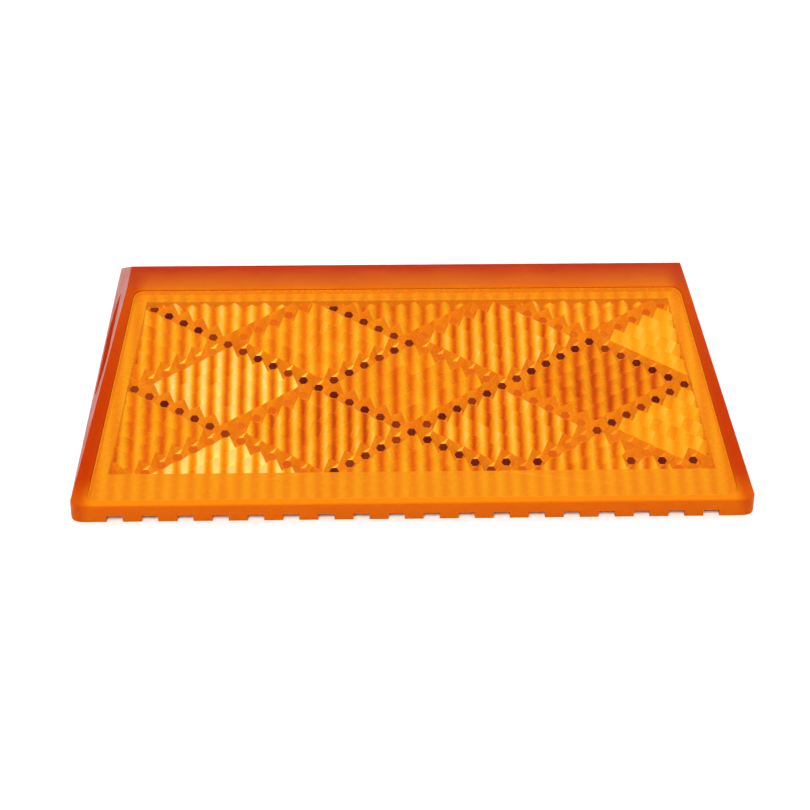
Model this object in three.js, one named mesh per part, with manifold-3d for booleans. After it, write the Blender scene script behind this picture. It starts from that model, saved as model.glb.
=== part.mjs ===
// Two-way raised pavement marker: a roof-shaped amber shell with a prismatic lens let into each of its
// two sloping faces, a plate of sealed air cells behind each lens, and a potted core.
// Millimetres, +Z up. Origin at the centre of the underside; the front lens faces -Y, the rear lens +Y.
import * as THREE from "three";
import { mergeVertices } from "three/addons/utils/BufferGeometryUtils.js";
import Module from "manifold-3d";

const wasm = await Module();
wasm.setup();

// ---- Driving dimensions ----------------------------------------------------------------------------
// Shell
const width = 101.6; // across the lane, along X
const length = 78.4; // along the direction of travel, Y
const height = 20.6;
const lipHeight = 2.5; // upright edge below each sloping face
const faceSlope = THREE.MathUtils.degToRad(27); // of the two lens faces, from the road
const sideLean = 6.4; // each side wall leans in by this much between lip and ridge
const cornerRadius = 2.2; // of the four upright corners, in plan
const sideWall = 2.0; // horizontal thickness of the side walls
const ridgeWall = 2.4;
const faceWall = 2.9; // thickness of the sloping faces, square to them
const lipBlock = 6.3; // solid depth behind each lip, along Y

// Lenses
const rimBottom = 1.5; // width of the shell's border round each lens, on the face
const rimTop = 0.9;
const rimSideLow = 2.6;
const rimSideHigh = 1.6;
const lensCorner = 1.5; // corner radius of the lens outline
const lensRecess = 0.1; // the lens lies this far below the shell's face
const lensThickness = 1.2; // without its prisms
const sideLedge = 0.5; // least width of the ledge that carries the lens, at its sides
const prismAcross = 2.733; // one hexagonal cube-corner prism, across its flats
const borderPrismDepth = 1.5; // of the cut-off prisms along the lines between cells

// Cells: rhombs in staggered rows, with half rhombs along the borders of the field
const prismsPerCellEdge = 6;
const cellsAcross = 4; // rhombs either side of the middle, counted in half widths, cut off by the border
const cellsHigh = 2; // rhombs one above the other
const cellFieldBottom = 6.0; // up the slope, from the lip to the lowest row
const ribThickness = 0.9; // of the walls between cells
const borderRib = 0.9; // wall round the whole field
const topRib = 0.5; // the same wall beside the ridge
const cellFloor = 0.9;
const coreSkin = 0.95; // the cell plates stay this far above the underside

// Keying grooves in the underside, along Y, for the road adhesive
const keyPitch = 5.2;
const keyWidth = 2.4;
const keyDepth = 1.0;

// Finger recess in each side wall
const gripLength = 26;
const gripHeight = 8;
const gripDepth = 0.9;
const gripCentre = 8.6; // above the underside

const fit = 0.3; // clearance between pieces that seat on, or drop into, each other
const overshoot = 2; // how far a cutting tool runs past what it cuts

// ---- Derived sizes ---------------------------------------------------------------------------------
const slopeRise = height - lipHeight;
const faceLength = slopeRise / Math.sin(faceSlope);
const sideTilt = Math.atan2(sideLean, slopeRise);
const cellHalfWidth = prismsPerCellEdge * prismAcross * Math.cos(Math.PI / 6);
const cellHalfHeight = (prismsPerCellEdge * prismAcross) / 2;
const fieldTop = cellFieldBottom + 2 * cellsHigh * cellHalfHeight;
const prismDepth = prismAcross * Math.sqrt(2 / 3); // from the highest root to the tip of a cube corner

const lensTop = faceLength - rimTop;
const cellPlateTop = lensTop - fit;

// Depths below the shell's face, square to it
const lensBack = lensRecess + lensThickness;
const seatDepth = lensBack + fit;
const borderPrismTips = lensBack + borderPrismDepth;
const prismTips = lensBack + prismDepth;
const cellPlateFront = lensBack + fit;
const ribTops = borderPrismTips + fit;
const cellBottom = prismTips + fit;
const cellPlateBack = cellBottom + cellFloor;

// ---- Solids and meshes -----------------------------------------------------------------------------
function solid(geometry) {
  const bare = geometry.clone();
  for (const name of ["normal", "uv"]) bare.deleteAttribute(name);
  const merged = mergeVertices(bare, 1e-5);
  return new wasm.Manifold(
    new wasm.Mesh({
      numProp: 3,
      vertProperties: new Float32Array(merged.attributes.position.array),
      triVerts: new Uint32Array(merged.index.array),
    }),
  );
}

function part(name, shape, material) {
  const made = shape.getMesh();
  const geometry = new THREE.BufferGeometry();
  geometry.setAttribute("position", new THREE.BufferAttribute(new Float32Array(made.vertProperties), 3));
  geometry.setIndex(new THREE.BufferAttribute(new Uint32Array(made.triVerts), 1));
  geometry.computeVertexNormals();
  const mesh = new THREE.Mesh(geometry, material);
  mesh.name = name;
  return mesh;
}

function plastic(color, roughness, extra = {}) {
  return new THREE.MeshStandardMaterial({ color, roughness, metalness: 0, ...extra });
}

// An outline with its corners rounded, extruded along Z from z = low to z = high.
function prism(corners, low, high, radius = 0) {
  const points = corners.map(([x, y]) => new THREE.Vector2(x, y));
  const shape = new THREE.Shape();
  points.forEach((corner, i) => {
    const toCorner = points.at(i - 1).clone().sub(corner).setLength(radius);
    const onward = points[(i + 1) % points.length].clone().sub(corner).setLength(radius);
    const start = corner.clone().add(toCorner);
    const end = corner.clone().add(onward);
    if (i === 0) shape.moveTo(start.x, start.y);
    else shape.lineTo(start.x, start.y);
    if (radius > 0) shape.quadraticCurveTo(corner.x, corner.y, end.x, end.y);
  });
  const settings = { depth: high - low, bevelEnabled: false, curveSegments: 6 };
  return new THREE.ExtrudeGeometry(shape, settings).translate(0, 0, low);
}

// A Y-Z outline extruded across the whole marker, and an X-Z outline extruded along it.
function acrossX(corners) {
  const reach = width / 2 + overshoot;
  return solid(prism(corners, -reach, reach).rotateX(Math.PI / 2).rotateZ(Math.PI / 2));
}

function alongY(corners) {
  const reach = length / 2 + overshoot;
  return solid(prism(corners, -reach, reach).rotateX(Math.PI / 2));
}

function rectangle(halfX, low, high) {
  return [[-halfX, low], [halfX, low], [halfX, high], [-halfX, high]];
}

// ---- Faces -----------------------------------------------------------------------------------------
// The frame of the front face: X across, Y up the slope from the lip, Z outwards.
function frontFace() {
  return new THREE.Matrix4().makeRotationX(faceSlope).setPosition(0, -length / 2, lipHeight);
}

// A solid made in a face's frame, placed on both faces of the marker.
function onBothFaces(made) {
  const front = made.transform(frontFace().elements);
  return front.add(front.rotate([0, 0, 180]));
}

// Half the width of the lens, at a distance up the slope from the lip.
function lensHalfWidth(along) {
  const face = width / 2 - (sideLean * along) / faceLength;
  return face - THREE.MathUtils.lerp(rimSideLow, rimSideHigh, along / faceLength);
}

// The part of the lens outline between two distances up the slope, drawn in by `gap` at its sides.
function taper(gap, bottom, top) {
  const low = lensHalfWidth(bottom) - gap;
  const high = lensHalfWidth(top) - gap;
  return [[-low, bottom], [low, bottom], [high, top], [-high, top]];
}

// A flat layer of the lens outline, grown by `grow`, between two depths below the face.
function lensLayer(grow, back, front) {
  return prism(taper(-grow, rimBottom - grow, lensTop + grow), -back, -front, lensCorner);
}

// A block that follows the sides of the lens, `sideGap` inside them.
function fieldBlock(sideGap, bottom, top, back, front) {
  return solid(prism(taper(sideGap, bottom, top), -back, -front));
}

// The cell plate's outside, grown by `grow`.
function cellBlock(grow, back, front) {
  const bottom = cellFieldBottom - borderRib - grow;
  return fieldBlock(sideLedge - grow, bottom, cellPlateTop + grow, back, front);
}

// What lies above the height `low` over the underside, in a face's frame.
function aboveUnderside(low) {
  const reach = width + length;
  const slab = new THREE.BoxGeometry(reach, reach, height).translate(0, 0, low + height / 2);
  return solid(slab.applyMatrix4(frontFace().invert()));
}

// ---- Cells -----------------------------------------------------------------------------------------
function rhomb(x, y, inset, back, front) {
  const share = 1 - inset / (cellHalfWidth * Math.sin(Math.PI / 6));
  const across = cellHalfWidth * share;
  const up = cellHalfHeight * share;
  const corners = [[x - across, y], [x, y - up], [x + across, y], [x, y + up]];
  return solid(prism(corners, -back, -front));
}

// The whole field of cells, drawn in by `inset` from its border.
function field(inset, back, front) {
  const sideGap = sideLedge + borderRib + inset;
  const top = Math.min(fieldTop, cellPlateTop - topRib) - inset;
  return fieldBlock(sideGap, cellFieldBottom + inset, top, back, front);
}

// Every cell of the field, drawn in by `inset` from the lines between cells.
function cells(inset, back, front) {
  const rhombs = [];
  for (let row = 0; row <= 2 * cellsHigh; row++)
    for (let column = -cellsAcross; column <= cellsAcross; column++) {
      if ((row + column) % 2 !== 0) continue;
      rhombs.push(rhomb(column * cellHalfWidth, fieldTop - row * cellHalfHeight, inset, back, front));
    }
  return rhombs.reduce((all, one) => all.add(one)).intersect(field(inset, back, front));
}

// The lens: a flat plate, the cut-off prisms as a block over the whole field, and the whole prisms
// as a deeper block behind each cell.
function lensSolid() {
  return solid(lensLayer(0, lensBack, lensRecess))
    .add(field(fit, borderPrismTips, lensRecess + fit))
    .add(cells(ribThickness / 2 + fit, prismTips, lensRecess + fit));
}

// The cell plate: a tray whose wall meets the back of the lens, with ribs between the cells that meet
// the cut-off prisms. It is trimmed flat above the underside.
function cellPlateSolid() {
  return cellBlock(0, cellPlateBack, cellPlateFront)
    .intersect(aboveUnderside(coreSkin))
    .subtract(field(0, ribTops, cellPlateFront - overshoot))
    .subtract(cells(ribThickness / 2, cellBottom, cellPlateFront - overshoot));
}

// ---- Shell and core --------------------------------------------------------------------------------
// The roof shape lying `depth` inside the shell's faces and `lip` inside its lips, from z = low up.
function roofProfile(depth, lip, top, low) {
  const drop = depth / Math.cos(faceSlope);
  const run = 1 / Math.tan(faceSlope);
  const foot = length / 2 - lip;
  const shoulder = lipHeight + lip / run - drop;
  const ridge = foot - (top - shoulder) * run;
  return [[-foot, low], [foot, low], [foot, shoulder], [ridge, top], [-ridge, top], [-foot, shoulder]];
}

// The end view lying `wall` inside the leaning side walls.
function endProfile(wall, top, low) {
  const half = width / 2 - wall;
  const topHalf = half - (sideLean * (top - lipHeight)) / slopeRise;
  return [[-half, low], [half, low], [half, lipHeight], [topHalf, top], [-topHalf, top], [-half, lipHeight]];
}

// The hollow under the shell, drawn in by `gap`, from z = low up.
function hollow(gap, low) {
  const top = height - ridgeWall - gap;
  const roof = acrossX(roofProfile(faceWall + gap, lipBlock + gap, top, low));
  return roof.intersect(alongY(endProfile(sideWall + gap, top + overshoot, low)));
}

function keyGrooves(from, to) {
  const count = Math.floor((width - 2 * cornerRadius) / keyPitch / 2);
  const grooves = [];
  for (let i = -count; i < count; i++) {
    const groove = new THREE.BoxGeometry(keyWidth, to - from, 2 * keyDepth);
    grooves.push(solid(groove.translate((i + 0.5) * keyPitch, (from + to) / 2, 0)));
  }
  return grooves.reduce((all, one) => all.add(one));
}

// A round-ended recess in the side wall at +X.
function gripRecess() {
  const straight = (gripLength - gripHeight) / 2;
  const shape = new THREE.Shape();
  shape.absarc(straight, 0, gripHeight / 2, -Math.PI / 2, Math.PI / 2);
  shape.absarc(-straight, 0, gripHeight / 2, Math.PI / 2, (3 * Math.PI) / 2);
  const settings = { depth: gripDepth + overshoot, bevelEnabled: false, curveSegments: 8 };
  const recess = new THREE.ExtrudeGeometry(shape, settings).translate(0, 0, -gripDepth);
  recess.rotateX(Math.PI / 2).rotateZ(Math.PI / 2).rotateY(-sideTilt);
  const wallX = width / 2 - (sideLean * (gripCentre - lipHeight)) / slopeRise;
  return solid(recess.translate(wallX, 0, gripCentre));
}

function shellSolid() {
  const plan = solid(prism(rectangle(width / 2, -length / 2, length / 2), 0, height, cornerRadius));
  const block = acrossX(roofProfile(0, 0, height, 0)).intersect(alongY(endProfile(0, height, 0)));
  const seats = onBothFaces(solid(lensLayer(fit, seatDepth, -overshoot)));
  const windows = onBothFaces(cellBlock(fit, cellPlateBack + fit, -overshoot));
  const grip = gripRecess();
  return block.intersect(plan)
    .subtract(hollow(0, -overshoot))
    .subtract(windows)
    .subtract(seats)
    .subtract(keyGrooves(-length / 2 - overshoot, length / 2 + overshoot))
    .subtract(grip.add(grip.rotate([0, 0, 180])));
}

// The potting fills the hollow round the backs of the cell plates, flush with the underside.
function coreSolid() {
  const block = cellBlock(fit, cellPlateBack + fit, -overshoot).intersect(aboveUnderside(coreSkin - fit));
  const keyed = length / 2 - 2 * lipBlock;
  return hollow(fit, 0).subtract(onBothFaces(block)).subtract(keyGrooves(-keyed, keyed));
}

// ---- Assembly --------------------------------------------------------------------------------------
const shellPlastic = plastic(0xe07008, 0.35);
const lensAcrylic = plastic(0xff9a18, 0.12, { transparent: true, opacity: 0.8 });
const cellPlastic = plastic(0xc96a10, 0.5);
const potting = plastic(0x7a6a55, 0.9);

// The lens and cell plate of one face, in a group that lies on that face.
function faceGroup(side) {
  const group = new THREE.Group();
  group.position.set(0, -length / 2, lipHeight);
  group.rotation.x = faceSlope;
  group.add(part(`${side}_lens`, lensSolid(), lensAcrylic));
  group.add(part(`${side}_cell_plate`, cellPlateSolid(), cellPlastic));
  return group;
}

const marker = new THREE.Group();
const rear = new THREE.Group();
rear.rotation.z = Math.PI;
rear.add(faceGroup("rear"));
marker.add(part("shell", shellSolid(), shellPlastic));
marker.add(faceGroup("front"), rear);
marker.add(part("core_fill", coreSolid(), potting));

export default marker;
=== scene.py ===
"""A two-way amber raised pavement marker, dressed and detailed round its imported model.

Sizes below are in millimetres, as on the maker's drawing. Meshes are turned into metres as they are
made. A face's own frame has X across the marker, Y up the slope from the lip and Z outwards.
"""

import logging
import math
import random
from dataclasses import dataclass, field
from enum import Enum

import bmesh
import bpy
from mathutils import Matrix, Vector


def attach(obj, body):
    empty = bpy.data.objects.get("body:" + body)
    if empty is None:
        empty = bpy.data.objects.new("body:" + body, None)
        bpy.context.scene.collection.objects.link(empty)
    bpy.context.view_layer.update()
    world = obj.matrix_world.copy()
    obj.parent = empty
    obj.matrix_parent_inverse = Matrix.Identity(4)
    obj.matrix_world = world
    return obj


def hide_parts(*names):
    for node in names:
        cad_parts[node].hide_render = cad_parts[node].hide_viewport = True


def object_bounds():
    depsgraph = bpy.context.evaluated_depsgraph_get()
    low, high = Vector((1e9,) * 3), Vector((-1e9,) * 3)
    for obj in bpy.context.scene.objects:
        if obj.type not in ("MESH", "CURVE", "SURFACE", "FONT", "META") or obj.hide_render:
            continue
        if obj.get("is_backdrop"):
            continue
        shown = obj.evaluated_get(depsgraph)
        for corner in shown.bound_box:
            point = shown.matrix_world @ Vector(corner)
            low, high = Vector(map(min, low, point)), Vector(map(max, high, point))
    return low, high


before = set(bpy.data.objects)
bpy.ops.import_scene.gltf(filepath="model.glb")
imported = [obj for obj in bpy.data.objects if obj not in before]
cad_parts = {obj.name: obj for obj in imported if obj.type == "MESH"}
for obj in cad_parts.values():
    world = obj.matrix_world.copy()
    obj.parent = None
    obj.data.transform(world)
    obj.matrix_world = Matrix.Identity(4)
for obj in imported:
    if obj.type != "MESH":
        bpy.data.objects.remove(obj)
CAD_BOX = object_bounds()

log = logging.getLogger("marker")

MM = 0.001
BODY = "root"
ON_LINE = 0.01  # how far off a cell line still counts as on it, in half cells
FLAT = 1e-4  # mm
MERGE = 1e-5  # mm

Colour = tuple[float, float, float]


# ---- Shader maths ------------------------------------------------------------------------------
class Flow:
    """An output socket of a material, on which arithmetic adds Math nodes."""

    def __init__(self, paint: "Paint", socket: bpy.types.NodeSocket) -> None:
        """Wraps a socket.

        Args:
            paint: the material that the socket belongs to.
            socket: the output socket.
        """
        self.paint = paint
        self.socket = socket

    def _math(self, operation: str, first: object, second: object) -> "Flow":
        """Adds one Math node.

        Args:
            operation: the node's operation.
            first: its first value, a number or a Flow.
            second: its second value, a number or a Flow.

        Returns:
            The node's output.
        """
        return self.paint.flow("ShaderNodeMath", {"operation": operation}, {0: first, 1: second})

    def __add__(self, other: object) -> "Flow":
        """Adds."""
        return self._math("ADD", self, other)

    def __radd__(self, other: object) -> "Flow":
        """Adds."""
        return self._math("ADD", other, self)

    def __sub__(self, other: object) -> "Flow":
        """Subtracts."""
        return self._math("SUBTRACT", self, other)

    def __rsub__(self, other: object) -> "Flow":
        """Subtracts from a number."""
        return self._math("SUBTRACT", other, self)

    def __mul__(self, other: object) -> "Flow":
        """Multiplies."""
        return self._math("MULTIPLY", self, other)

    def __truediv__(self, other: object) -> "Flow":
        """Divides."""
        return self._math("DIVIDE", self, other)

    def clamped(self) -> "Flow":
        """Keeps the value between 0 and 1."""
        return self.paint.flow("ShaderNodeClamp", {}, {"Value": self})

    def magnitude(self) -> "Flow":
        """Drops the value's sign."""
        return self.paint.flow("ShaderNodeMath", {"operation": "ABSOLUTE"}, {0: self})

    def cosine(self) -> "Flow":
        """Takes the cosine of an angle in radians."""
        return self.paint.flow("ShaderNodeMath", {"operation": "COSINE"}, {0: self})

    def fade(self, start: float, width: float) -> "Flow":
        """Rises from 0 to 1 along a distance.

        Args:
            start: where the rise starts, in millimetres.
            width: how long it is, in millimetres; below 0 it rises the other way.

        Returns:
            The value, 0 to 1.
        """
        return (self / (width * MM) - start / width).clamped()


class Paint:
    """A material being mixed from nodes."""

    def __init__(self, name: str) -> None:
        """Starts an empty material.

        Args:
            name: the material's name.
        """
        self.material = bpy.data.materials.new(name)
        self.material.use_nodes = True
        self.tree = self.material.node_tree
        self.tree.nodes.clear()

    def node(self, kind: str, settings: dict, sockets: dict) -> bpy.types.Node:
        """Adds a node.

        Args:
            kind: the node's type.
            settings: its properties, set first; "stops" holds a ramp's (place, colour) pairs.
            sockets: value or link of each input, by name or number.

        Returns:
            The node.
        """
        made = self.tree.nodes.new(kind)
        for name, value in settings.items():
            if name == "stops":
                self._set_stops(made.color_ramp, value)
            else:
                setattr(made, name, value)
        for key, value in sockets.items():
            self._feed(made.inputs[key], value)
        return made

    def flow(self, kind: str, settings: dict, sockets: dict, output: object = 0) -> Flow:
        """Adds a node and wraps one of its outputs.

        Args:
            kind: the node's type.
            settings: its properties.
            sockets: value or link of each input.
            output: the wanted output, by name or number.

        Returns:
            The wrapped output.
        """
        return Flow(self, self.node(kind, settings, sockets).outputs[output])

    def _set_stops(self, ramp: bpy.types.ColorRamp, stops: tuple) -> None:
        """Gives a colour ramp its stops.

        Args:
            ramp: the ramp.
            stops: (place, colour) pairs in order.
        """
        while len(ramp.elements) < len(stops):
            ramp.elements.new(1.0)
        for element, (place, colour) in zip(ramp.elements, stops):
            element.position = place
            element.color = (*colour, 1.0)

    def _feed(self, socket: bpy.types.NodeSocket, value: object) -> None:
        """Links or sets one input.

        Args:
            socket: the input.
            value: a Flow, a socket, a colour, a vector or a number.
        """
        if isinstance(value, Flow):
            self.tree.links.new(value.socket, socket)
        elif isinstance(value, bpy.types.NodeSocket):
            self.tree.links.new(value, socket)
        elif socket.type == "RGBA":
            socket.default_value = (*value, 1.0)
        else:
            socket.default_value = value

    def mix(self, share: object, first: object, second: object) -> Flow:
        """Mixes two colours.

        Args:
            share: how much of the second colour, 0 to 1.
            first: a colour or a Flow.
            second: a colour or a Flow.

        Returns:
            The mixed colour.
        """
        settings = {"data_type": "RGBA", "clamp_factor": True}
        return self.flow("ShaderNodeMix", settings, {0: share, 6: first, 7: second}, 2)

    def ramp(self, value: Flow, stops: tuple) -> Flow:
        """Turns a value into a colour.

        Args:
            value: the value, 0 to 1.
            stops: (place, colour) pairs.

        Returns:
            The colour.
        """
        return self.flow("ShaderNodeValToRGB", {"stops": stops}, {0: value})

    def noise(self, size: float, detail: float = 2.0, stretch: Colour = (1, 1, 1)) -> Flow:
        """Cloudy noise fixed to the object.

        Args:
            size: the width of one cloud, in millimetres.
            detail: how many finer layers it has.
            stretch: how much denser it is along X, Y and Z.

        Returns:
            A value round 0.5.
        """
        place = self.flow("ShaderNodeTexCoord", {}, {}, "Object")
        scaled = self.flow("ShaderNodeMapping", {}, {"Vector": place, "Scale": stretch})
        sockets = {"Vector": scaled, "Scale": 1 / (size * MM), "Detail": detail}
        return self.flow("ShaderNodeTexNoise", {}, sockets)

    def attribute(self, name: str) -> Flow:
        """Reads a value that the mesh carries on its faces.

        Args:
            name: the attribute's name.

        Returns:
            The value.
        """
        return self.flow("ShaderNodeAttribute", {"attribute_name": name}, {}, "Fac")

    def along(self, axis: str) -> Flow:
        """The place along one of the marker's axes, in metres.

        Args:
            axis: "X", "Y" or "Z".

        Returns:
            The distance from the marker's origin.
        """
        place = self.flow("ShaderNodeTexCoord", {}, {}, "Object")
        return self.flow("ShaderNodeSeparateXYZ", {}, {0: place}, axis)

    def bump(self, value: Flow, depth: float) -> Flow:
        """Turns a value into a relief.

        Args:
            value: the relief's height, 0 to 1.
            depth: the height of 1, in millimetres.

        Returns:
            The normal.
        """
        sockets = {"Height": value, "Distance": depth * MM, "Strength": 1.0}
        return self.flow("ShaderNodeBump", {}, sockets)

    def finish(self, shader: bpy.types.Node) -> bpy.types.Material:
        """Sends a shader to the output.

        Args:
            shader: the last shader node.

        Returns:
            The finished material.
        """
        self.node("ShaderNodeOutputMaterial", {}, {"Surface": shader.outputs[0]})
        return self.material


# ---- Finishes ----------------------------------------------------------------------------------
@dataclass(frozen=True)
class ShellPlastic:
    """Amber moulded plastic with a fine mould grain, paler towards the lip, with painted shade on
    the side rims and lip face and a painted highlight on the ridge's front.
    """

    deep: Colour = (0.35, 0.020, 0.0)
    bright: Colour = (0.62, 0.165, 0.002)
    cloud: float = 9.0
    cloud_share: float = 0.4
    grain: float = 0.35
    grain_depth: float = 0.012
    scuff: float = 2.2
    smooth: float = 0.22
    scuff_roughness: float = 0.28
    gloss: float = 0.03
    lip_start: float = 34.8
    lip_width: float = 3.0
    lip_share: float = 0.85
    # painted shade: the lip's upright face is darkened
    lip_face_start: float = 38.72
    lip_face_width: float = 0.4
    lip_face_shade: float = 0.6
    side_start: float = 48.4
    side_width: float = 2.0
    # painted shade: the side rims are darkened, standing in for light's long path through the bent
    # shell
    side_shade: float = 0.72
    lean: float = 0.354
    height: float = 20.0
    low_share: float = 0.28
    # painted light: the front of the ridge top is paler than its rear
    ridge_start: float = 2.8
    ridge_width: float = -8.0
    ridge_light: float = 0.65

    def material(self) -> bpy.types.Material:
        """Mixes the material."""
        paint = Paint("amber_shell_plastic")
        grain = paint.noise(self.grain, 2.0)
        scuff = paint.noise(self.scuff, 6.0, (1, 0.35, 1))
        sockets = {
            "Base Color": paint.mix(self._painted_light_and_clouds(paint), self.deep, self.bright),
            "Roughness": (self.smooth + scuff * self.scuff_roughness).clamped(),
            "Normal": paint.bump(grain, self.grain_depth),
            "Specular IOR Level": self.gloss,
            "Subsurface Weight": 0.25,
            "Subsurface Radius": (2.0, 0.5, 0.1),
            "Subsurface Scale": MM,
        }
        return paint.finish(paint.node("ShaderNodeBsdfPrincipled", {}, sockets))

    def _painted_light_and_clouds(self, paint: Paint) -> Flow:
        """How bright the plastic is at each place: paler towards the lip and the bottom, with
        painted shade on the side rims and the lip face, painted light on the front of the ridge
        top, and random clouds.

        Args:
            paint: the material.

        Returns:
            The share of the bright colour, 0 to 1.
        """
        clouds = paint.noise(self.cloud, 3.0)
        away = paint.along("Y").magnitude()
        lip = away.fade(self.lip_start, self.lip_width)
        # painted shade: the lip's upright face is darkened
        lip_face = away.fade(self.lip_face_start, self.lip_face_width)
        # painted shade: darker along the side rims, where light's path through the bent shell is
        # long
        aside = paint.along("X").magnitude() + paint.along("Z") * self.lean
        side = aside.fade(self.side_start, self.side_width)
        low = 1 - paint.along("Z") / (self.height * MM)
        # painted light: the front of the ridge top is made paler, leaving its rear deeper
        ridge = paint.along("Y").fade(self.ridge_start, self.ridge_width) * (1 - low * 2).clamped()
        pale = lip * self.lip_share + low * self.low_share + ridge * self.ridge_light
        pale = pale + (clouds - 0.5) * self.cloud_share
        return (pale * (1 - side * self.side_shade) * (1 - lip_face * self.lip_face_shade)).clamped()


@dataclass(frozen=True)
class PrismAmber:
    """Metallised amber prisms, toned facet by facet, with a painted glow, painted light on
    like-facing facets and painted shade on the cut-off prisms along some cell lines.
    """

    column: float
    metal: float = 0.25
    # glow: painted light, an emission in the prisms' own colour that stands in for the light they
    # send back
    glow: float = 0.50
    # shade: darkens the base colour by this share, so that the painted glow outweighs the lamps'
    # light
    shade: float = 0.28
    cloud: float = 7.0
    cloud_share: float = 0.10
    # painted light: streak_share sets bright and dark strokes along the prism columns, where
    # like-facing facets line up
    streak_share: float = 0.34
    stops: tuple = (
        (0.00, (0.09, 0.004, 0.0)),
        (0.20, (0.50, 0.085, 0.001)),
        (0.36, (0.63, 0.185, 0.002)),
        (0.50, (0.68, 0.265, 0.004)),
        (0.70, (0.73, 0.390, 0.010)),
        (0.85, (0.77, 0.530, 0.070)),
        (1.00, (0.82, 0.690, 0.240)),
    )

    def material(self) -> bpy.types.Material:
        """Mixes the material."""
        paint = Paint("amber_prisms")
        clouds = paint.noise(self.cloud, 2.0)
        # painted light: streaks are bright and dark strokes at the column pitch, where like-facing
        # facets line up
        turn = paint.along("X") * (2 * math.pi / (self.column * MM)) + math.pi
        streak = paint.attribute("streak") * turn.cosine() * self.streak_share
        tone = (paint.attribute("tone") + streak + (clouds - 0.5) * self.cloud_share).clamped()
        colour = paint.ramp(tone, self.stops)
        sockets = {
            "Base Color": paint.mix(self.shade, colour, (0.0, 0.0, 0.0)),
            # painted light: the prisms glow in their own colour, though they are no lamp
            "Emission Color": colour,
            "Emission Strength": self.glow,
            "Specular IOR Level": 0.1,
            "Roughness": (0.16 + paint.noise(0.8, 3.0) * 0.2).clamped(),
            "Metallic": self.metal,
            "Normal": paint.bump(paint.noise(0.3, 1.0), 0.004),
        }
        return paint.finish(paint.node("ShaderNodeBsdfPrincipled", {}, sockets))


@dataclass(frozen=True)
class PolishedFace:
    """The clear polished front of a lens, with hairline scratches from handling."""

    tint: Colour = (1.0, 0.93, 0.80)
    mirror_tint: Colour = (1.0, 0.97, 0.92)
    index: float = 1.22
    scratch: float = 0.25
    scratch_depth: float = 0.002
    roughness: float = 0.08

    def material(self) -> bpy.types.Material:
        """Mixes the material."""
        paint = Paint("polished_lens_face")
        scratches = paint.noise(self.scratch, 3.0, (0.08, 1, 1))
        mirror = paint.flow("ShaderNodeFresnel", {}, {"IOR": self.index})
        clear = paint.node("ShaderNodeBsdfTransparent", {}, {"Color": self.tint})
        shine_sockets = {
            "Base Color": self.mirror_tint,
            "Roughness": self.roughness,
            "Metallic": 1.0,
            "Normal": paint.bump(scratches, self.scratch_depth),
        }
        shine = paint.node("ShaderNodeBsdfPrincipled", {}, shine_sockets)
        sockets = {0: mirror, 1: clear.outputs[0], 2: shine.outputs[0]}
        return paint.finish(paint.node("ShaderNodeMixShader", {}, sockets))


@dataclass(frozen=True)
class TrayPlastic:
    """Matt amber plastic of the cell plates."""

    dark: Colour = (0.30, 0.06, 0.003)
    light: Colour = (0.46, 0.11, 0.006)

    def material(self) -> bpy.types.Material:
        """Mixes the material."""
        paint = Paint("amber_tray_plastic")
        sockets = {
            "Base Color": paint.mix(paint.noise(4.0, 3.0), self.dark, self.light),
            "Roughness": (0.45 + paint.noise(0.7, 2.0) * 0.2).clamped(),
            "Normal": paint.bump(paint.noise(0.4, 2.0), 0.01),
        }
        return paint.finish(paint.node("ShaderNodeBsdfPrincipled", {}, sockets))


@dataclass(frozen=True)
class SandedPotting:
    """Epoxy full of sand, poured and scraped level."""

    epoxy: Colour = (0.16, 0.115, 0.075)
    sand: Colour = (0.42, 0.34, 0.24)
    grain: float = 0.7
    grain_depth: float = 0.08
    blotch: float = 6.0

    def material(self) -> bpy.types.Material:
        """Mixes the material."""
        paint = Paint("sanded_potting")
        place = paint.flow("ShaderNodeTexCoord", {}, {}, "Object")
        scale = 1 / (self.grain * MM)
        grains = paint.flow("ShaderNodeTexVoronoi", {}, {"Vector": place, "Scale": scale})
        blotch = paint.noise(self.blotch, 4.0)
        show = ((1 - grains * 1.4) * 0.8 + (blotch - 0.5) * 0.9).clamped()
        sockets = {
            "Base Color": paint.mix(show, self.epoxy, self.sand),
            "Roughness": (0.95 - show * 0.25).clamped(),
            "Normal": paint.bump(1 - grains, self.grain_depth),
        }
        return paint.finish(paint.node("ShaderNodeBsdfPrincipled", {}, sockets))


@dataclass(frozen=True)
class PaleFloor:
    """The white studio table."""

    colour: Colour = (0.94, 0.94, 0.94)
    shade: float = 0.985
    cloud: float = 60.0

    def material(self) -> bpy.types.Material:
        """Mixes the material."""
        paint = Paint("pale_floor")
        dull = tuple(part * self.shade for part in self.colour)
        colour = paint.mix(paint.noise(self.cloud), self.colour, dull)
        sockets = {"Base Color": colour, "Roughness": 0.9}
        return paint.finish(paint.node("ShaderNodeBsdfPrincipled", {}, sockets))


# ---- Meshes ------------------------------------------------------------------------------------
def make_piece(name: str, made: bmesh.types.BMesh, place: Matrix,
               dress: bpy.types.Material) -> bpy.types.Object:
    """Turns a mesh in millimetres into a piece of the marker.

    Args:
        name: the piece's name.
        made: its mesh, which is used up.
        place: where it goes, in millimetres.
        dress: its material.

    Returns:
        The piece, which rides on the marker's only body.
    """
    bmesh.ops.transform(made, matrix=Matrix.Scale(MM, 4) @ place, verts=made.verts)
    bmesh.ops.recalc_face_normals(made, faces=made.faces)
    mesh = bpy.data.meshes.new(name)
    made.to_mesh(mesh)
    made.free()
    mesh.materials.append(dress)
    piece = bpy.data.objects.new(name, mesh)
    bpy.context.scene.collection.objects.link(piece)
    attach(piece, BODY)
    log.info("%s: %d faces", name, len(mesh.polygons))
    return piece


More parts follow.
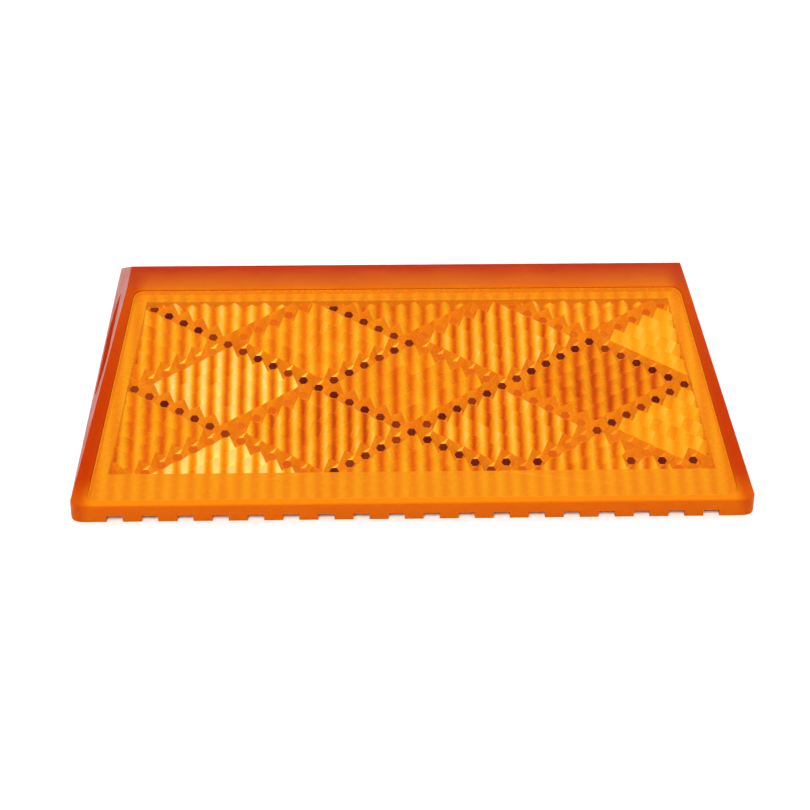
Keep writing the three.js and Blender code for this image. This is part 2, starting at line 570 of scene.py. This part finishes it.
def rounded(corners: list[tuple[float, float]], radius: float, steps: int) -> list[Vector]:
    """Rounds the corners of an outline.

    Args:
        corners: the outline's corners, anticlockwise.
        radius: how far from its corner each curve starts.
        steps: the number of edges in each curve.

    Returns:
        The points of the rounded outline.
    """
    points = []
    for number, corner in enumerate(corners):
        here = Vector(corner)
        before = Vector(corners[number - 1])
        after = Vector(corners[(number + 1) % len(corners)])
        start = here + (before - here).normalized() * radius
        end = here + (after - here).normalized() * radius
        for step in range(steps + 1):
            share = step / steps
            points.append(start.lerp(here, share).lerp(here.lerp(end, share), share))
    return points


class Side(Enum):
    """The two ways a lens can face."""

    FRONT = 0.0
    REAR = math.pi


@dataclass(frozen=True)
class Roof:
    """The marker's overall shape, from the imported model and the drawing."""

    slope: float = math.radians(27)
    lip: float = 2.5
    width: float = (CAD_BOX[1].x - CAD_BOX[0].x) / MM
    length: float = (CAD_BOX[1].y - CAD_BOX[0].y) / MM
    height: float = CAD_BOX[1].z / MM
    lean: float = 6.4

    def face_length(self) -> float:
        """The length of a sloping face, lip to ridge."""
        return (self.height - self.lip) / math.sin(self.slope)

    def place(self, side: Side) -> Matrix:
        """A face's frame.

        Args:
            side: which face.

        Returns:
            The matrix from the face's frame to the marker's, in millimetres.
        """
        lip = Matrix.Translation((0, -self.length / 2, self.lip))
        return Matrix.Rotation(side.value, 4, "Z") @ lip @ Matrix.Rotation(self.slope, 4, "X")


# ---- Lenses ------------------------------------------------------------------------------------
class Aim(Enum):
    """Which way a cell's cube corners are turned, as the azimuth of their first edge in degrees."""

    UPRIGHT = 0
    TURNED = 60


@dataclass
class PrismSheet:
    """The prisms behind one lens: hexagonal cube corners in rhombic cells, seen from the front.

    cells gives each cell's tone and how strongly its painted light streaks show, by row from the
    top and place from the middle, both in half cells. dark_lines gives, in the same units, the ends
    of the lines whose cut-off prisms are painted near black as shade. low_cuts names further
    cut-off prisms painted dark as shade, by column from the middle and step from the top; some of
    them lie inside a cell.
    """

    roof: Roof
    across_flats: float = 2.733
    per_edge: int = 6
    cells_across: int = 4
    cell_rows: int = 4
    bottom: float = 6.0
    cut_depth: float = 1.5
    cut_share: float = 0.50
    seed: int = 11
    jitter: float = 0.05
    cells: dict = field(default_factory=lambda: {
        (0, -2): (0.60, 0.8), (0, 0): (0.48, 0.6), (0, 2): (0.54, 0.7),
        (1, -3): (0.54, 0.6), (1, -1): (0.54, 0.6), (1, 1): (0.53, 0.9), (1, 3): (0.69, 0.2),
        (2, -2): (0.64, 1.1), (2, 0): (0.49, 0.6), (2, 2): (0.40, 0.6),
        (3, -3): (0.49, 0.6), (3, -1): (0.51, 0.9), (3, 1): (0.52, 0.9), (3, 3): (0.63, 0.3),
        (4, -2): (0.80, 1.1), (4, 0): (0.49, 0.6), (4, 2): (0.51, 0.7),
    })
    # painted light: facets pointing sideways are toned lighter and the others darker, as light
    # falls on them
    lit_facet_lift: float = 0.04
    shade: float = -0.02
    # painted shade: flat cuts on the dark lines and low cuts are near black, those on the other
    # cell lines darker than the cells
    cut_tone: float = 0.02
    faint_cut_tone: float = 0.26
    cut_wall_tone: float = 0.40
    margin_tone: float = 0.46
    margin_streak: float = 0.18
    margin_grow: float = 0.26
    edge_height: float = 1.08
    low_cuts: tuple = ((4, 11), (6, 11), (8, 11), (14, 11), (16, 11), (18, 11))
    dark_lines: tuple = (
        ((0, -3), (1, -2)), ((0, -1), (1, 0)), ((2, -1), (1, 0)), ((1, -2), (2, -1)),
        ((2, -1), (3, 0)), ((2, -3), (3, -2)), ((4, -1), (3, 0)), ((3, 0), (2, 1)),
        ((2, 1), (1, 2)), ((1, 2), (2, 3)), ((2, 3), (3, 2)), ((3, 0), (4, 1)),
    )

    def __post_init__(self) -> None:
        """Works out the pattern's pitches."""
        self.radius = self.across_flats / math.sqrt(3)
        self.pitch = 1.5 * self.radius
        self.half_width = self.per_edge * self.pitch
        self.half_height = self.per_edge * self.across_flats / 2
        self.top = self.bottom + self.cell_rows * self.half_height
        self.tip = self.across_flats * math.sqrt(2 / 3)
        self.random = random.Random(self.seed)

    def cell_at(self, x: float, y: float) -> tuple[int, int, bool]:
        """Finds the cell at a point.

        Args:
            x: across the face.
            y: up the face.

        Returns:
            The cell's row and column, and whether the point is on a line between cells.
        """
        across = x / self.half_width
        down = (self.top - y) / self.half_height
        one = 2 * round((across + down) / 2)
        other = 2 * round((across - down) / 2)
        off = max(abs(across + down - one), abs(across - down - other))
        return (one - other) // 2, (one + other) // 2, off > 1 - ON_LINE

    def aim_at(self, x: float, y: float) -> Aim:
        """Which way the prisms at a point are turned.

        Args:
            x: across the face.
            y: up the face.

        Returns:
            The aim of the cell there.
        """
        row = self.cell_at(x, y)[0]
        return Aim.UPRIGHT if row % 2 == 0 else Aim.TURNED

    def rim_depth(self, x: float, y: float, azimuth: int) -> float:
        """The depth of one corner of a prism's hexagon.

        Args:
            x: the prism's centre, across the face.
            y: the prism's centre, up the face.
            azimuth: the corner's direction from the centre, in degrees.

        Returns:
            The corner's depth behind the flat plate.
        """
        corner = self.corner(x, y, azimuth)
        aim = self.aim_at(corner.x, corner.y)
        return self.tip / 2 if (azimuth - aim.value) % 120 == 0 else 0.0

    def corner(self, x: float, y: float, azimuth: int, share: float = 1.0) -> Vector:
        """A corner of a prism's hexagon.

        Args:
            x: the prism's centre, across the face.
            y: the prism's centre, up the face.
            azimuth: the corner's direction, in degrees.
            share: how far out it lies, 1 at the hexagon.

        Returns:
            The point, in the face's plane.
        """
        angle = math.radians(azimuth)
        reach = self.radius * share
        return Vector((x + reach * math.cos(angle), y + reach * math.sin(angle)))

    def build(self, root: float, edges: "LensEdges") -> bmesh.types.BMesh:
        """Makes the visible side of the prisms, with the flat margin round them.

        Args:
            root: the depth of the plate's flat back below the shell's face.
            edges: the borders of the prism field and of the lens.

        Returns:
            The sheet, in the face's frame.
        """
        sheet = bmesh.new()
        tones = sheet.faces.layers.float.new("tone")
        streaks = sheet.faces.layers.float.new("streak")
        known: dict[tuple[int, int], bmesh.types.BMVert] = {}

        def vertex(point: Vector, depth: float) -> bmesh.types.BMVert:
            """Makes or finds a vertex at a point and depth."""
            key = (round(point.x * 1000), round(point.y * 1000))
            if key not in known:
                known[key] = sheet.verts.new((point.x, point.y, -root - depth))
            return known[key]

        def facet(corners: list[bmesh.types.BMVert], tone: float, streak: float = 0.0) -> None:
            """Adds one facet."""
            made = sheet.faces.new(corners)
            made[tones] = tone + self.random.uniform(-self.jitter, self.jitter)
            made[streaks] = streak

        columns = self.cells_across * self.per_edge + 1
        rows = self.cell_rows * self.per_edge // 2 + 1
        for column in range(-columns, columns + 1):
            for step in range(-1, rows + 1):
                x = column * self.pitch
                y = self.top - (step + (column % 2) / 2) * self.across_flats
                rim = {}
                for azimuth in range(0, 360, 60):
                    rim[azimuth] = vertex(self.corner(x, y, azimuth), self.rim_depth(x, y, azimuth))
                row, place, cut = self.cell_at(x, y)
                # painted shade: cut-off prisms on the dark lines and low cuts get a near-black
                # floor
                dark = self.on_dark_line(x, y) or (column, step) in self.low_cuts
                if cut or dark:
                    floor = self.cut_tone if dark else self.faint_cut_tone
                    self._cut_prism(x, y, rim, vertex, facet, floor)
                else:
                    look = self.cells.get((row, place), (0.5, 0.5))
                    self._whole_prism(Vector((x, y)), rim, vertex, facet, look)
        self._trim(sheet, edges)
        self._close(sheet, root, edges, tones, streaks)
        return sheet

    def _whole_prism(self, centre: Vector, rim: dict, vertex: object, facet: object,
                     look: tuple[float, float]) -> None:
        """Adds a cube corner: three square facets that meet at its tip.

        Args:
            centre: the prism's centre.
            rim: its six corners by azimuth.
            vertex: makes a vertex.
            facet: makes a face.
            look: the cell's tone, and how strongly it shows streaks.
        """
        first = self.aim_at(*centre).value
        tip = vertex(centre, self.tip)
        for turn in range(0, 360, 120):
            start = first + turn
            middle = (start + 60) % 360
            # painted light: the facets pointing sideways are toned lighter, the rest darker
            lift = self.lit_facet_lift if middle % 180 == 0 else self.shade
            corners = [tip, rim[start % 360], rim[middle], rim[(start + 120) % 360]]
            facet(corners, look[0] + lift, look[1])

    def _cut_prism(self, x: float, y: float, rim: dict, vertex: object, facet: object,
                   floor: float) -> None:
        """Adds a prism whose tip is cut off flat where a rib bears on it.

        Args:
            x: the prism's centre, across the face.
            y: the prism's centre, up the face.
            rim: its six corners by azimuth.
            vertex: makes a vertex.
            facet: makes a face.
            floor: the tone of the flat cut, painted dark as shade.
        """
        inner = {}
        for azimuth in rim:
            inner[azimuth] = vertex(self.corner(x, y, azimuth, self.cut_share), self.cut_depth)
        for azimuth in rim:
            onward = (azimuth + 60) % 360
            wall = [rim[azimuth], rim[onward], inner[onward], inner[azimuth]]
            facet(wall, self.cut_wall_tone)
        facet([inner[azimuth] for azimuth in sorted(inner)], floor)

    def on_dark_line(self, x: float, y: float) -> bool:
        """Whether a point is on one of the lines whose cut-off prisms are painted near black as
        shade.

        Args:
            x: across the face.
            y: up the face.

        Returns:
            True on such a line.
        """
        here = Vector(((self.top - y) / self.half_height, x / self.half_width))
        for first, second in self.dark_lines:
            ends = Vector(first), Vector(second)
            spare = (here - ends[0]).length + (here - ends[1]).length - (ends[0] - ends[1]).length
            if spare < ON_LINE:
                return True
        return False

    def _trim(self, sheet: bmesh.types.BMesh, edges: "LensEdges") -> None:
        """Cuts the prisms off along the border of the field.

        Args:
            sheet: the sheet.
            edges: the borders.
        """
        outline = edges.field_outline(self)
        for number, corner in enumerate(outline):
            onward = outline[(number + 1) % len(outline)] - corner
            outwards = Vector((onward.y, -onward.x, 0))
            everything = list(sheet.verts) + list(sheet.edges) + list(sheet.faces)
            bmesh.ops.bisect_plane(sheet, geom=everything, plane_co=(*corner, 0), plane_no=outwards,
                                   clear_outer=True, dist=MERGE)

    def _close(self, sheet: bmesh.types.BMesh, root: float, edges: "LensEdges", tones: object,
               streaks: object) -> None:
        """Adds the upright walls round the field and the flat margin outside them.

        Args:
            sheet: the sheet.
            root: the depth of the plate's flat back.
            edges: the borders.
            tones: the face layer that holds the tones.
            streaks: the face layer that holds how strongly the streaks show.
        """
        border = [edge for edge in sheet.edges if edge.is_boundary]
        raised = {}
        for vert in {vert for edge in border for vert in edge.verts}:
            flat = abs(vert.co.z + root) < FLAT
            raised[vert] = vert if flat else sheet.verts.new((vert.co.x, vert.co.y, -root))
        inner = []
        for edge in border:
            first, second = edge.verts
            corners = list(dict.fromkeys([first, second, raised[second], raised[first]]))
            if len(corners) > 2:
                sheet.faces.new(corners)[tones] = self.cut_wall_tone
            lifted = sheet.edges.get((raised[first], raised[second]))
            inner.append(lifted or sheet.edges.new((raised[first], raised[second])))
        around = edges.lens_outline(self.margin_grow)
        ring = [sheet.verts.new((point.x, point.y, -root)) for point in around]
        brim = [sheet.verts.new((point.x, point.y, -root + self.edge_height)) for point in around]
        outer = [sheet.edges.new((ring[i - 1], ring[i])) for i in range(len(ring))]
        before = set(sheet.faces)
        bmesh.ops.triangle_fill(sheet, edges=inner + outer, use_beauty=True, normal=(0, 0, 1))
        for made in set(sheet.faces) - before:
            made[tones] = self.margin_tone
            made[streaks] = self.margin_streak
        for i in range(len(ring)):
            sheet.faces.new([ring[i - 1], ring[i], brim[i], brim[i - 1]])[tones] = self.margin_tone


@dataclass
class LensEdges:
    """The borders of a lens and of what lies behind it."""

    roof: Roof
    rim_bottom: float = 1.5
    rim_top: float = 0.9
    rim_side_low: float = 2.6
    rim_side_high: float = 1.6
    corner: float = 1.5
    corner_steps: int = 6
    side_ledge: float = 0.5
    border_rib: float = 0.9
    top_rib: float = 0.5
    fit: float = 0.3

    def half_width(self, up: float) -> float:
        """Half the width of the lens.

        Args:
            up: the distance up the slope.

        Returns:
            The half width there.
        """
        share = up / self.roof.face_length()
        rim = self.rim_side_low + (self.rim_side_high - self.rim_side_low) * share
        return self.roof.width / 2 - self.roof.lean * share - rim

    def lens_top(self) -> float:
        """Where the lens ends, up the slope."""
        return self.roof.face_length() - self.rim_top

    def lens_outline(self, grow: float) -> list[Vector]:
        """The rounded outline of the lens.

        Args:
            grow: how far outwards it is moved.

        Returns:
            The outline's points, anticlockwise.
        """
        low, high = self.rim_bottom - grow, self.lens_top() + grow
        wide, narrow = self.half_width(low) + grow, self.half_width(high) + grow
        corners = [(-wide, low), (wide, low), (narrow, high), (-narrow, high)]
        return rounded(corners, self.corner, self.corner_steps)

    def field_outline(self, prisms: PrismSheet) -> list[Vector]:
        """The border of the prism field, whose sides follow the taper of the lens.

        Args:
            prisms: the prisms.

        Returns:
            The border's corners, anticlockwise.
        """
        gap = self.side_ledge + self.border_rib + self.fit
        low = prisms.bottom + self.fit
        high = min(prisms.top, self.lens_top() - self.fit - self.top_rib) - self.fit
        right = [Vector((self.half_width(level) - gap, level)) for level in (low, high)]
        return right + [Vector((-point.x, point.y)) for point in reversed(right)]


@dataclass
class Lens:
    """One lens: the prisms, and the polished plate in front of them."""

    roof: Roof
    side: Side
    recess: float = 0.1
    thickness: float = 1.2
    skin: float = 0.12
    bead: float = 0.28
    round_over: float = 0.08
    round_steps: int = 3

    def build(self, prism_finish: bpy.types.Material, face_finish: bpy.types.Material) -> None:
        """Makes both pieces.

        Args:
            prism_finish: the prisms' material.
            face_finish: the plate's material.
        """
        edges = LensEdges(self.roof)
        name = self.side.name.lower()
        sheet = PrismSheet(self.roof).build(self.recess + self.thickness, edges)
        prisms = make_piece(f"{name}_lens_prisms", sheet, self.roof.place(self.side), prism_finish)
        shell = prisms.modifiers.new("skin", "SOLIDIFY")
        shell.thickness = self.skin * MM
        shell.offset = -1.0
        plate = self._plate(edges)
        face = make_piece(f"{name}_lens_face", plate, self.roof.place(self.side), face_finish)
        for piece in (prisms, face):
            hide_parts(f"{name}_lens")

    def _plate(self, edges: LensEdges) -> bmesh.types.BMesh:
        """The polished front of the plate with its rounded edge; the prism sheet closes it behind.

        Args:
            edges: the lens's borders.

        Returns:
            The plate, in the face's frame.
        """
        plate = bmesh.new()
        front = -self.recess
        rings = [(self.bead, front - self.round_over)]
        for step in range(1, self.round_steps + 1):
            angle = math.radians(90 * step / self.round_steps)
            inwards = self.round_over * (1 - math.cos(angle))
            rings.append((self.bead - inwards, front - self.round_over * (1 - math.sin(angle))))
        loops = []
        for grow, depth in rings:
            loops.append([plate.verts.new((*point, depth)) for point in edges.lens_outline(grow)])
        for lower, upper in zip(loops, loops[1:]):
            for i in range(len(lower)):
                plate.faces.new([lower[i - 1], lower[i], upper[i], upper[i - 1]])
        plate.faces.new(loops[-1])
        return plate


# ---- Shell and core ----------------------------------------------------------------------------
@dataclass
class Shell:
    """The amber shell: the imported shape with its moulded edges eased."""

    ease: float = 0.16
    weld: float = 0.001
    steps: int = 3
    flat: float = math.radians(1.0)
    sharp: float = math.radians(22.0)

    def build(self, finish: bpy.types.Material) -> None:
        """Makes the shell.

        Args:
            finish: its material.
        """
        made = bmesh.new()
        made.from_mesh(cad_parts["shell"].data)
        bmesh.ops.remove_doubles(made, verts=made.verts, dist=self.weld * MM)
        bmesh.ops.dissolve_limit(made, angle_limit=self.flat, verts=made.verts, edges=made.edges)
        shell = make_piece("marker_shell", made, Matrix.Scale(1 / MM, 4), finish)
        bevel = shell.modifiers.new("eased_edges", "BEVEL")
        bevel.width = self.ease * MM
        bevel.segments = self.steps
        bevel.limit_method = "ANGLE"
        bevel.angle_limit = self.sharp
        bevel.harden_normals = True
        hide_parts("shell")


@dataclass
class Inside:
    """What the shell holds: the cell plates and the potting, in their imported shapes."""

    def build(self, tray: bpy.types.Material, potting: bpy.types.Material) -> None:
        """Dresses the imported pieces.

        Args:
            tray: the cell plates' material.
            potting: the core's material.
        """
        dresses = {"front_cell_plate": tray, "rear_cell_plate": tray, "core_fill": potting}
        for name, dress in dresses.items():
            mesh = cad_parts[name].data
            mesh.materials.clear()
            mesh.materials.append(dress)
            log.info("%s: dressed", name)


# ---- Studio ------------------------------------------------------------------------------------
@dataclass
class Studio:
    """A white table under soft white light, and the camera. Its sizes are in metres."""

    floor_size: float = 6.0
    floor_drop: float = 0.00002
    horizon: float = 0.95
    horizon_end: float = 0.10
    zenith: float = 0.50
    zenith_start: float = 0.40
    softbox: float = 0.35
    aim: Vector = field(default_factory=lambda: Vector((-0.86, -19.4, 7.85)) * MM)
    azimuth: float = math.radians(-1.78)
    elevation: float = math.radians(30.7)
    distance: float = 0.298
    lens: float = 85.5
    roll: float = math.radians(0.39)

    def build(self) -> None:
        """Makes the floor, the lights and the camera."""
        self._floor()
        self._sky()
        self._lamp("key", Vector((-0.10, -0.62, 0.62)), 7.0, (1.0, 0.98, 0.95))
        self._lamp("back", Vector((0.15, 0.45, 0.80)), 4.0, (1.0, 1.0, 1.0))
        self._camera()

    def _floor(self) -> None:
        """Lays the table."""
        table = bmesh.new()
        bmesh.ops.create_grid(table, x_segments=8, y_segments=8, size=self.floor_size / 2)
        mesh = bpy.data.meshes.new("floor")
        table.to_mesh(mesh)
        table.free()
        mesh.materials.append(PaleFloor().material())
        floor = bpy.data.objects.new("floor", mesh)
        floor.location.z = -self.floor_drop
        bpy.context.scene.collection.objects.link(floor)
        floor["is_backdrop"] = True

    def _sky(self) -> None:
        """Fills the room with soft white light."""
        world = bpy.data.worlds.new("white_room")
        world.use_nodes = True
        nodes, links = world.node_tree.nodes, world.node_tree.links
        place = nodes.new("ShaderNodeTexCoord")
        split = nodes.new("ShaderNodeSeparateXYZ")
        ramp = nodes.new("ShaderNodeValToRGB")
        ramp.color_ramp.elements[0].position = self.horizon_end
        ramp.color_ramp.elements[1].position = self.zenith_start
        for element, level in zip(ramp.color_ramp.elements, (self.horizon, self.zenith)):
            element.color = (level, level, level, 1.0)
        links.new(place.outputs["Generated"], split.inputs[0])
        links.new(split.outputs["Z"], ramp.inputs[0])
        links.new(ramp.outputs[0], nodes["Background"].inputs["Color"])
        bpy.context.scene.world = world

    def _lamp(self, name: str, place: Vector, power: float, colour: Colour) -> None:
        """Hangs a square softbox that looks at the marker.

        Args:
            name: its name.
            place: where it hangs, in metres.
            power: its power, in watts.
            colour: its colour.
        """
        lamp = bpy.data.lights.new(name, "AREA")
        lamp.size = self.softbox
        lamp.energy = power
        lamp.color = colour
        holder = bpy.data.objects.new(name, lamp)
        holder.location = place
        holder.rotation_euler = (self.aim - place).to_track_quat("-Z", "Y").to_euler()
        bpy.context.scene.collection.objects.link(holder)

    def _camera(self) -> None:
        """Sets up the camera."""
        camera = bpy.data.objects.new("camera", bpy.data.cameras.new("camera"))
        camera.data.sensor_width = 36.0
        camera.data.lens = self.lens
        camera.data.clip_start = 0.01
        level = math.cos(self.elevation)
        across, along = math.sin(self.azimuth) * level, -math.cos(self.azimuth) * level
        back = Vector((across, along, math.sin(self.elevation)))
        camera.location = self.aim + back * self.distance
        turn = (-back).to_track_quat("-Z", "Y").to_matrix()
        camera.rotation_euler = (turn @ Matrix.Rotation(self.roll, 3, "Z")).to_euler()
        bpy.context.scene.collection.objects.link(camera)
        bpy.context.scene.camera = camera
        bpy.context.scene.view_settings.view_transform = "Standard"


def write_sizes() -> None:
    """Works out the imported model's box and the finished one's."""
    boxes = {"cad": CAD_BOX, "visual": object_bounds()}
    plain = {name: [list(low), list(high)] for name, (low, high) in boxes.items()}


def main() -> None:
    """Builds the marker and its studio."""
    logging.basicConfig(level=logging.INFO, format="%(message)s")
    roof = Roof()
    Shell().build(ShellPlastic().material())
    prism_finish = PrismAmber(PrismSheet(roof).pitch).material()
    face_finish = PolishedFace().material()
    for side in Side:
        Lens(roof, side).build(prism_finish, face_finish)
    Inside().build(TrayPlastic().material(), SandedPotting().material())
    Studio().build()
    write_sizes()


if __name__ == "__main__":
    main()
